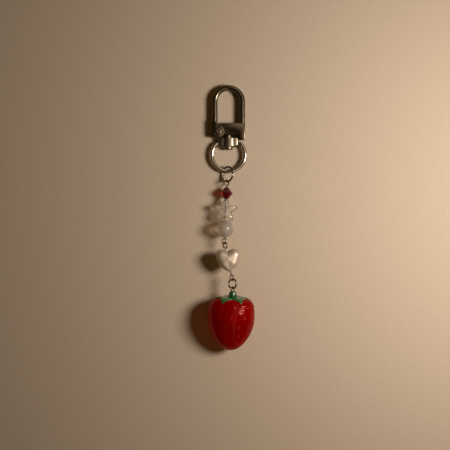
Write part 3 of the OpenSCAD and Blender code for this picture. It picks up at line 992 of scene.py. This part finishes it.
class KEYCHAIN_OT_beads(Builder):
    """Bicone, star, round and heart beads"""
    bl_idname = "keychain.beads"
    bl_label = "Beads"

    def build(self, scene):
        sizes = scene.bead_sizes
        self.bicone(sizes)
        self.star(sizes)
        self.ball(sizes)
        self.heart(sizes)

    def bicone(self, sizes):
        centre, down, right, up = bead_frame("bicone_spin", "bicone_bead")
        radius, half, end = 3.0 * MM, 2.6 * MM, 0.95 * MM
        count = sizes.bicone_facets
        vertices, faces = [], []
        for r, d, twist in ((end, -half, 0.5), (radius, 0, 0), (end, half, 0.5)):
            for k in range(count):
                a = 2 * math.pi * (k + twist) / count
                vertices.append(
                    centre + down * d + (right * math.cos(a) + up * math.sin(a)) * r)
        for k in range(count):
            n = (k + 1) % count
            for tip in (0, 2 * count):
                faces += [(count + k, count + n, tip + k), (count + n, tip + n, tip + k)]
        faces += [tuple(range(count)), tuple(range(2 * count, 3 * count))]
        bead = mesh_object("bicone_cut_crystal", vertices, faces)
        tidy_mesh(bead)
        drill(bead, centre, down, sizes.hole)
        bevelled(bead, 0.025 * MM, 1, 12)
        bead.data.shade_flat()
        material, shader, tree = blank(
            "Ruby crystal", sizes.ruby, roughness=0.03, ior=1.55, transmission_weight=0.6)
        shader.inputs["Metallic"].default_value = 0.0
        worn = effect(tree, wear_group(), 0.5)
        tree.links.new(
            maths(tree, "ADD", maths(tree, "MULTIPLY", worn.outputs["Scratch"], 0.2), 0.03),
            shader.inputs["Roughness"])
        tinted_shadow(tree, shader, (0.55, 0.02, 0.05), 0.55, 0.1, (0.8, 0.02, 0.06))
        dress(bead, "bicone", ["bicone_bead"], material)

    def star(self, sizes):
        centre, down, right, up = bead_frame("star_spin", "star_bead")
        notch, tip, thick = sizes.star_notch, sizes.star_tip, 2.2 * MM

        def point(u, v):
            a, tilt = 2 * math.pi * u, math.pi * v
            c = math.cos(tilt)
            edge = notch + (tip - notch) * ((1 + math.cos(5 * a)) / 2) ** 1.05
            radius = edge * math.sin(tilt) ** 0.6
            hollow = 1 - 0.10 * math.exp(-(radius / (1.7 * MM)) ** 2)
            rise = -thick * hollow * math.copysign(abs(c) ** 0.8, c)
            flat = -down * math.cos(a) + right * math.sin(a)
            offset = flat * radius + up * rise
            # The tip is ground flat where the bicone rests on it.
            over = -sizes.star_seat - offset.dot(down)
            return centre + offset + down * max(0.0, over)

        bead = mesh_object("star_moulded", *ball_grid(point, 180, 72))
        tidy_mesh(bead)
        drill(bead, centre, down, sizes.hole)
        smooth(bead, 50)
        # The last colour is the painted shade at the star's edges.
        material = glassy(
            "Clear acrylic", (0.98, 0.96, 0.92), 1.5, 0.02, 0.05, (0.05, 0.035, 0.02))
        dress(bead, "star", ["star_bead"], material)

    def ball(self, sizes):
        centre, down, right, up = bead_frame("round_spin", "round_bead")
        low, high = (Vector(v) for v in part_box("round_bead"))
        radius = (high.x - low.x) / 2

        def point(u, v):
            a, tilt = 2 * math.pi * u, math.pi * v
            flat = right * math.cos(a) + up * math.sin(a)
            lip = 1 - 0.035 * math.exp(-((math.sin(tilt) / 0.16) ** 2))
            return centre + (flat * math.sin(tilt) + down * math.cos(tilt) * lip) * radius

        bead = mesh_object("round_pressed_glass", *ball_grid(point, 96, 64))
        tidy_mesh(bead)
        drill(bead, centre, down, sizes.hole)
        smooth(bead, 50)
        material, shader, tree = resin(
            "Milky glass", sizes.milky, [c * 0.82 for c in sizes.milky], 0.12, 0.65,
            (1.0, 0.9, 0.75))
        shader.inputs["Transmission Weight"].default_value = 0.6
        shader.inputs["Coat Weight"].default_value = 0.1
        shader.inputs["Coat Roughness"].default_value = 0.04
        tinted_shadow(tree, shader, (0.85, 0.78, 0.68), 0.35)
        dress(bead, "round", ["round_bead"], material)

    def heart(self, sizes):
        centre, down, right, _ = bead_frame("heart_spin", "heart_bead")
        turn = math.radians(-7)
        tip_way = down * math.cos(turn) + right * math.sin(turn)
        side_way = right * math.cos(turn) - down * math.sin(turn)
        spread = 2.75
        shells = [
            self.heart_half(centre, tip_way, side_way, x, sizes.heart_lobe)
            for x in (-spread, spread)]
        bead = join("heart_pearl", shells)
        remesh = bead.modifiers.new("One skin", "REMESH")
        remesh.mode = "VOXEL"
        remesh.voxel_size = 0.16 * MM
        soft = bead.modifiers.new("Soft seams", "SMOOTH")
        soft.factor = 0.6
        soft.iterations = 24
        freeze(bead)
        drill(bead, centre, down, sizes.hole)
        smooth(bead, 60)
        material, shader, tree = blank(
            "Imitation pearl", sizes.pearl, metallic=0.6, roughness=0.5, coat_weight=0.25,
            coat_roughness=0.25)
        moulded = effect(tree, grain_group(), 1.0)
        # Painted shade: the pearl colour darkens towards (0.50, 0.36, 0.29) where the surface is seen
        # edge on; a quarter of the mix is the moulding's uneven cloud.
        rim = tree.nodes.new("ShaderNodeLayerWeight")
        rim.inputs["Blend"].default_value = 0.35
        cloud_and_edge_shade = maths(tree, "ADD", maths(tree, "MULTIPLY", moulded.outputs["Cloud"], 0.25),
                        maths(tree, "MULTIPLY", rim.outputs["Facing"], 0.75))
        tint(tree, shader, cloud_and_edge_shade, sizes.pearl, (0.50, 0.36, 0.29))
        bumped(tree, shader, moulded.outputs["Wave"], 0.05 * MM, 0.2)
        dress(bead, "heart", ["heart_bead"], material)

    def heart_half(self, centre, tip_way, side_way, x, lobe):
        """One lobe of the heart: a skin drawn over balls, from the lobe down to the tip."""
        balls = (
            (centre + side_way * x * MM - tip_way * 2.2 * MM, lobe),
            (centre - tip_way * 0.7 * MM, lobe * 1.03),
            (centre + side_way * x * 0.62 * MM + tip_way * 0.9 * MM, lobe * 0.9),
            (centre + tip_way * 3.95 * MM, 1.25 * MM))
        bm = bmesh.new()
        for spot, radius in balls:
            made = bmesh.ops.create_icosphere(bm, subdivisions=4, radius=radius)["verts"]
            bmesh.ops.translate(bm, verts=made, vec=spot)
        bmesh.ops.delete(bm, geom=list(bm.faces), context="FACES_ONLY")
        hull = bmesh.ops.convex_hull(bm, input=bm.verts)
        spare = [g for g in hull["geom_interior"] if isinstance(g, bmesh.types.BMVert)]
        bmesh.ops.delete(bm, geom=spare, context="VERTS")
        mesh = bpy.data.meshes.new("lobe")
        bm.to_mesh(mesh)
        bm.free()
        half = bpy.data.objects.new("lobe", mesh)
        bpy.context.scene.collection.objects.link(half)
        return half


# ---------------------------------------------------------------- strawberry

def berry_frame():
    """The strawberry's direction to its tip, its right and its up."""
    lean, dip = math.radians(-1.5), math.radians(-5.5)
    down = Vector((
        math.sin(lean) * math.cos(dip), -math.cos(lean) * math.cos(dip), math.sin(dip)))
    right = Vector((math.cos(lean), math.sin(lean), 0))
    return down, right, right.cross(down) * (1 if right.cross(down).z > 0 else -1)


def berry_eye():
    """The centre of the eye, which hangs in the charm's jump ring."""
    ring = middle("charm_jump_ring")
    lean, climb = math.radians(3), math.radians(6.765)
    step = Vector((
        math.sin(lean) * math.cos(climb), -math.cos(lean) * math.cos(climb), math.sin(climb)))
    ring_radius, eye_radius, half_of_both_wires, play = 2.15, 1.15, 0.7, 0.05
    return ring + step * (ring_radius + eye_radius - half_of_both_wires - play) * MM


def cubic(p, t):
    """A point on a cubic curve of pairs."""
    s = 1 - t
    w = (s ** 3, 3 * s * s * t, 3 * s * t * t, t ** 3)
    return sum(a * b[0] for a, b in zip(w, p)), sum(a * b[1] for a, b in zip(w, p))


# The body's outline from the top to the tip, as (distance down, radius) in millimetres.
SHOULDER = ((0.7, 0.0), (-1.4, 9.4), (2.0, 10.6), (9.5, 10.55))
TAPER = ((9.5, 10.55), (16.0, 10.55), (24.3, 5.4), (24.3, 0.0))
SHOULDER_STEPS, TAPER_STEPS = 60, 90
OUTLINE = [cubic(SHOULDER, i / SHOULDER_STEPS) for i in range(SHOULDER_STEPS + 1)]
OUTLINE += [cubic(TAPER, i / TAPER_STEPS) for i in range(1, TAPER_STEPS + 1)]


def berry_depth(radius):
    """How far below the shoulders' level the body's top lies, at a radius."""
    depths, radii = zip(*OUTLINE[:SHOULDER_STEPS + 1])
    return float(np.interp(radius, radii, depths))


class KEYCHAIN_OT_strawberry(Builder):
    """Strawberry body with seed dimples, leaves and stem"""
    bl_idname = "keychain.strawberry"
    bl_label = "Strawberry"

    def build(self, scene):
        sizes = scene.berry_sizes
        self.down, self.right, self.up = berry_frame()
        eye = berry_eye()
        self.top = eye + self.down * 3.85 * MM
        self.body(sizes)
        self.leaves(sizes)
        self.stem(sizes)

    def place(self, x, y, depth):
        """A point given right, up and down the strawberry, in millimetres."""
        return self.top + (self.right * x + self.up * y + self.down * depth) * MM

    def domed(self, x, y, depth):
        """The front face swells a little round its middle."""
        if y <= 0:
            return y
        swell = math.exp(-((depth - 9.5) / 5) ** 2)
        return y * (0.96 + swell * (0.10 + 0.06 * math.exp(-(x / 3.5) ** 2)))

    def seeds(self, sizes):
        """Where the dimples are: staggered rows of [depth, angle]."""
        spots = []
        pitch = sizes.seed_pitch / MM
        for row in range(sizes.seed_rows):
            depth = 3.6 + row * pitch * 0.78
            radius = float(np.interp(depth, [p[0] for p in OUTLINE[30:]],
                                     [p[1] for p in OUTLINE[30:]]))
            count = max(3, round(2 * math.pi * radius * 0.88 / pitch))
            for k in range(count):
                spots.append((depth, 2 * math.pi * (k + 0.5 * (row % 2) + 0.2) / count, radius))
        return spots

    def body(self, sizes):
        flat, shift = sizes.flatness, -0.3
        seeds = [(d, r * math.cos(a), flat * r * math.sin(a)) for d, a, r in self.seeds(sizes)]
        seeds = np.array(seeds)
        size, deep = sizes.seed_radius / MM, sizes.seed_depth / MM
        marks = []
        last = len(OUTLINE) - 1

        def point(u, v):
            t = v * last
            i = min(int(t), last - 1)
            depth = OUTLINE[i][0] + (OUTLINE[i + 1][0] - OUTLINE[i][0]) * (t - i)
            radius = OUTLINE[i][1] + (OUTLINE[i + 1][1] - OUTLINE[i][1]) * (t - i)
            a = 2 * math.pi * u
            x, y = radius * math.cos(a), flat * radius * math.sin(a)
            away = np.sqrt(
                ((seeds[:, 0] - depth) / 1.35) ** 2 + (seeds[:, 1] - x) ** 2
                + (seeds[:, 2] - y) ** 2).min()
            dimple = math.exp(-(away / size * 1.15) ** 2.4)
            rim = math.exp(-((away / size - 1.25) / 0.38) ** 2)
            marks.append(dimple)
            # The mould left a low step on one shoulder.
            beside = math.exp(-((a - 0.5) / 0.5) ** 2) if a < math.pi else 0.0
            step = 0.42 * beside * math.exp(-((depth - 2.6) / 1.9) ** 6)
            ripple = 0.10 * beside * math.cos(depth * 5.2) * math.exp(-((depth - 4.0) / 2.4) ** 2)
            shrink = 1 - (deep * dimple - 0.16 * deep * rim - step - ripple) / max(radius, 2.0)
            return self.place(
                shift + x * shrink, self.domed(x, y, depth) * shrink, depth)

        body = mesh_object("strawberry_cast", *ball_grid(point, 288, 200))
        # The dimple mask; the resin paints its dimple highlight with it.
        seed = body.data.attributes.new("seed", "FLOAT", "POINT")
        seed.data.foreach_set("value", marks)
        tidy_mesh(body, merge=0)
        smooth(body, 60)
        dress(body, "strawberry", ["strawberry_body"], self.red_resin(sizes))

    def red_resin(self, sizes):
        """Clear red resin that light shines through, with a painted highlight: paler pink in its
        dimples.
        """
        material, shader, tree = resin(
            "Strawberry resin", sizes.red, [c * 0.72 for c in sizes.red], 0.12, 0.9,
            (1.0, 0.06, 0.04))
        # Painted highlight: the dimples are tinted paler pink, standing in for the light they catch.
        spots = tree.nodes.new("ShaderNodeAttribute")
        spots.attribute_name = "seed"
        lit = tree.nodes.new("ShaderNodeMix")
        lit.data_type = "RGBA"
        lit.inputs[7].default_value = (0.75, 0.06, 0.06, 1)
        tree.links.new(maths(tree, "MULTIPLY", spots.outputs["Fac"], 0.28), lit.inputs[0])
        tree.links.new(shader.inputs["Base Color"].links[0].from_socket, lit.inputs[6])
        tree.links.new(lit.outputs[2], shader.inputs["Base Color"])
        shader.inputs["Subsurface Scale"].default_value = 0.008
        shader.inputs["Specular Tint"].default_value = (1.0, 0.25, 0.2, 1)
        shader.inputs["Coat Weight"].default_value = 0.1
        shader.inputs["Specular IOR Level"].default_value = 0.35
        shader.inputs["Coat IOR"].default_value = 1.35
        shader.inputs["IOR"].default_value = 1.4
        shader.inputs["Coat Tint"].default_value = (1.0, 0.6, 0.55, 1)
        tinted_shadow(tree, shader, (0.75, 0.03, 0.02), 0.22, 0.35, (0.95, 0.03, 0.03))
        return material

    def leaves(self, sizes):
        """Curved leaves that lie on the shoulders."""
        lengths = (8.9, 9.4, 9.4, 7.9, 8.8, 9.4)
        flat, shift = sizes.flatness, -0.3
        thickness = sizes.leaf_thickness / MM
        shells = []
        across_steps, along_steps = 14, 30
        for k, long in enumerate(lengths):
            turn = 2 * math.pi * k / len(lengths)
            wide = (2.6, 3.5, 3.5, 2.6, 2.85, 2.85)[k]
            sheets = []
            for face in (0, 1):
                sheet = []
                for i in range(along_steps + 1):
                    s = i / along_steps
                    width = wide * (0.62 + 0.38 * math.sin(math.pi * min(1, s * 1.25))) \
                        * (1 - s ** 3.2) ** 0.8 + 0.03
                    if s < 0.35:
                        width *= 0.75 + 0.25 * s / 0.35
                    for j in range(across_steps + 1):
                        t = 2 * j / across_steps - 1
                        reach = 1.2 + (long - 1.2) * s
                        sway = 0.5 * math.sin(k * 2.1) * s * s
                        x = reach * math.cos(turn) - (width * t + sway) * math.sin(turn)
                        y = reach * math.sin(turn) + (width * t + sway) * math.cos(turn)
                        base = berry_depth(min(math.hypot(x - 0.0, y), 10.4))
                        rib = math.exp(-(t / 0.16) ** 2) * 0.10 * (1 - s)
                        fold = 0.10 * (1 - abs(t)) * math.sin(math.pi * s)
                        veins = 0.03 * math.cos((s * 9 - abs(t) * 1.6) * 2 * math.pi)
                        body_part = max(0.0, 1 - abs(t) ** 3) * max(0.15, 1 - s ** 4)
                        lift = 0.04 if face == 0 else \
                            0.12 + (thickness - 0.12) * body_part + rib + fold + veins * body_part
                        lift += 0.35 * s ** 5
                        sheet.append(self.place(
                            shift + x, self.domed(x, flat * y, base), base - lift))
                sheets.append(sheet)
            shells.append(self.slab("leaf", sheets, across_steps + 1, along_steps + 1))
        calyx = join("strawberry_leaves", shells)
        smooth(calyx, 70)
        material, _, _ = resin(
            "Leaf resin", sizes.leaf, [c * 0.6 for c in sizes.leaf], 0.16, 0.5, (0.3, 1.0, 0.3))
        dress(calyx, "strawberry", ["strawberry_calyx"], material)

    def slab(self, name, sheets, columns, rows):
        """A closed solid between two sheets of points."""
        count = columns * rows
        faces = []
        for i in range(rows - 1):
            for j in range(columns - 1):
                a = i * columns + j
                quad = (a, a + 1, a + columns + 1, a + columns)
                faces += [quad, tuple(count + v for v in reversed(quad))]
        rim = [j for j in range(columns)] + [i * columns + columns - 1 for i in range(1, rows)]
        rim += [(rows - 1) * columns + j for j in range(columns - 2, -1, -1)]
        rim += [i * columns for i in range(rows - 2, 0, -1)]
        for a, b in zip(rim, rim[1:] + rim[:1]):
            faces.append((a, b, count + b, count + a))
        obj = mesh_object(name, sheets[0] + sheets[1], faces)
        tidy_mesh(obj)
        return obj

    def stem(self, sizes):
        start, end = 1.0 - 3.85, 1.47 - 3.85 + 3.15
        profile = [(start, 0.28), (start, 1.25), (start + 0.08, 1.42), (start + 0.25, 1.55)]
        profile += [(start + 0.25 + (end - start - 0.25) * i / 12,
                     1.55 + 1.5 * (i / 12) ** 1.6) for i in range(1, 13)]
        profile = [(start, 0.0)] + profile[1:] + [(end, 0.0)]
        stem = lathe("strawberry_stalk", [(d * MM, r * MM) for d, r in profile],
                     self.top, self.down, 72, self.right)
        for vertex in stem.data.vertices:
            offset = vertex.co - self.top
            along = offset.dot(self.down)
            out = offset - self.down * along
            a = math.atan2(out.dot(self.up), out.dot(self.right))
            vertex.co = self.top + self.down * along + out * (1 + 0.025 * math.cos(9 * a))
        drill(stem, self.top, self.down, 0.56 * MM)
        smooth(stem, 50)
        material, _, _ = resin(
            "Stem resin", sizes.stem, [c * 0.6 for c in sizes.stem], 0.18, 0.6, (0.2, 1.0, 0.4))
        dress(stem, "strawberry", ["strawberry_stem"], material)


# ---------------------------------------------------------------- stage

LAMP_PLACE, LAMP_AIM = Vector((0.178, 0.018, 0.19)), Vector((0, 0.005, 0))
LAMP_COLOUR = (1.0, 0.915, 0.85)
CEILING_WAY = Vector((0.34, 0.03, 0.93)).normalized()
CAMERA_PLACE = (-0.00293, -0.00353)
# The room's light from the horizon to straight overhead: (height, strength).
ROOM_STOPS = ((0.0, 0.8), (0.3, 0.45), (1.0, 0.3))


class KEYCHAIN_OT_stage(Builder):
    """Floor, lamp, room light and camera"""
    bl_idname = "keychain.stage"
    bl_label = "Stage"

    def build(self, scene):
        sizes = scene.stage_sizes
        self.floor(sizes)
        self.lamp(scene, sizes)
        self.room(scene, sizes)
        self.camera(scene, sizes)
        scene.view_settings.view_transform = "Standard"
        scene.view_settings.look = "None"

    def floor(self, sizes):
        """A plain pale table."""
        reach = 3.0
        floor = mesh_object("floor", [
            (-reach, -reach, 0), (reach, -reach, 0), (reach, reach, 0), (-reach, reach, 0)],
            [(0, 1, 2, 3)])
        material, shader, tree = blank("Pale floor", sizes.floor, roughness=0.75)
        shader.inputs["Specular IOR Level"].default_value = 0.25
        place = tree.nodes.new("ShaderNodeTexCoord").outputs["Object"]
        speck = remap(tree, noise_node(tree, place, 900, 4, 0.7), 0.3, 0.7)
        low = [c * 0.93 for c in sizes.floor]
        high = [min(1, c * 1.06) for c in sizes.floor]
        tint(tree, shader, speck, low, high)
        bumped(tree, shader, speck, 0.05 * MM, 0.3)
        floor.data.materials.append(material)

    def lamp(self, scene, sizes):
        """One soft lamp at the right."""
        light = bpy.data.lights.new("lamp", "AREA")
        light.shape = "DISK"
        light.size = sizes.lamp_size
        light.energy = sizes.lamp_power
        light.color = LAMP_COLOUR
        lamp = bpy.data.objects.new("lamp", light)
        scene.collection.objects.link(lamp)
        lamp.location = LAMP_PLACE
        lamp.rotation_euler = (LAMP_AIM - LAMP_PLACE).to_track_quat("-Z", "Y").to_euler()

    def room(self, scene, sizes):
        """Dim light from all round, and a ceiling light that only shows in reflections."""
        world = bpy.data.worlds.new("Room")
        scene.world = world
        world.use_nodes = True
        nodes = world.node_tree
        background = nodes.nodes["Background"]
        direction = nodes.nodes.new("ShaderNodeTexCoord").outputs["Generated"]
        split = nodes.nodes.new("ShaderNodeSeparateXYZ")
        nodes.links.new(direction, split.inputs["Vector"])
        ramp = nodes.nodes.new("ShaderNodeValToRGB")
        while len(ramp.color_ramp.elements) < len(ROOM_STOPS):
            ramp.color_ramp.elements.new(0.5)
        for element, (height, strength) in zip(ramp.color_ramp.elements, ROOM_STOPS):
            element.position = height
            element.color = (*[c * strength for c in sizes.room], 1)
        nodes.links.new(split.outputs["Z"], ramp.inputs["Fac"])
        # The ceiling light is long, and hangs to the right of straight overhead.
        spread = nodes.nodes.new("ShaderNodeVectorMath")
        spread.operation = "MULTIPLY"
        nodes.links.new(direction, spread.inputs[0])
        spread.inputs[1].default_value = (1, 0.1, 1)
        level = nodes.nodes.new("ShaderNodeVectorMath")
        level.operation = "NORMALIZE"
        nodes.links.new(spread.outputs["Vector"], level.inputs[0])
        facing = nodes.nodes.new("ShaderNodeVectorMath")
        facing.operation = "DOT_PRODUCT"
        nodes.links.new(level.outputs["Vector"], facing.inputs[0])
        facing.inputs[1].default_value = CEILING_WAY
        glow = remap(nodes, facing.outputs["Value"], 0.955, 0.98, 0.0, 1.0)
        path = nodes.nodes.new("ShaderNodeLightPath")
        glow = maths(nodes, "MULTIPLY", glow, path.outputs["Is Glossy Ray"])
        ceiling = nodes.nodes.new("ShaderNodeMix")
        ceiling.data_type = "RGBA"
        ceiling.inputs[7].default_value = (*sizes.ceiling, 1)
        nodes.links.new(glow, ceiling.inputs[0])
        nodes.links.new(ramp.outputs["Color"], ceiling.inputs[6])
        nodes.links.new(ceiling.outputs[2], background.inputs["Color"])
        background.inputs["Strength"].default_value = 1.0

    def camera(self, scene, sizes):
        """Straight above the keychain."""
        camera = bpy.data.cameras.new("camera")
        camera.sensor_width = 36
        camera.lens = camera.sensor_width * sizes.camera_height / sizes.field
        camera.clip_start = 0.01
        view = bpy.data.objects.new("camera", camera)
        scene.collection.objects.link(view)
        view.location = (*CAMERA_PLACE, sizes.camera_height)
        scene.camera = view


# ---------------------------------------------------------------- add-on

PROPERTIES = {
    "clasp_sizes": ClaspSizes, "link_sizes": LinkSizes, "bead_sizes": BeadSizes,
    "berry_sizes": BerrySizes, "stage_sizes": StageSizes,
}
STEPS = (
    KEYCHAIN_OT_clasp, KEYCHAIN_OT_gate, KEYCHAIN_OT_rivet, KEYCHAIN_OT_swivel,
    KEYCHAIN_OT_rings, KEYCHAIN_OT_pins, KEYCHAIN_OT_beads, KEYCHAIN_OT_strawberry,
    KEYCHAIN_OT_stage,
)


class KEYCHAIN_PT_panel(bpy.types.Panel):
    """Lists the keychain's sizes and its steps"""
    bl_idname = "KEYCHAIN_PT_panel"
    bl_label = "Beaded strawberry keychain"
    bl_space_type = "VIEW_3D"
    bl_region_type = "UI"
    bl_category = "Keychain"

    def draw(self, context):
        layout = self.layout
        for step in STEPS:
            layout.operator(step.bl_idname)
        for name, kind in PROPERTIES.items():
            box = layout.box()
            box.label(text=name.replace("_", " ").capitalize())
            for key in kind.__annotations__:
                box.prop(getattr(context.scene, name), key)


def register():
    for kind in (*PROPERTIES.values(), *STEPS, KEYCHAIN_PT_panel):
        bpy.utils.register_class(kind)
    for name, kind in PROPERTIES.items():
        setattr(bpy.types.Scene, name, PointerProperty(type=kind))


def unregister():
    for name in PROPERTIES:
        delattr(bpy.types.Scene, name)
    for kind in reversed((*PROPERTIES.values(), *STEPS, KEYCHAIN_PT_panel)):
        bpy.utils.unregister_class(kind)


def main():
    register()
    for step in STEPS:
        group_name, operator_name = step.bl_idname.split(".")
        getattr(getattr(bpy.ops, group_name), operator_name)()


if __name__ == "__main__":
    main()
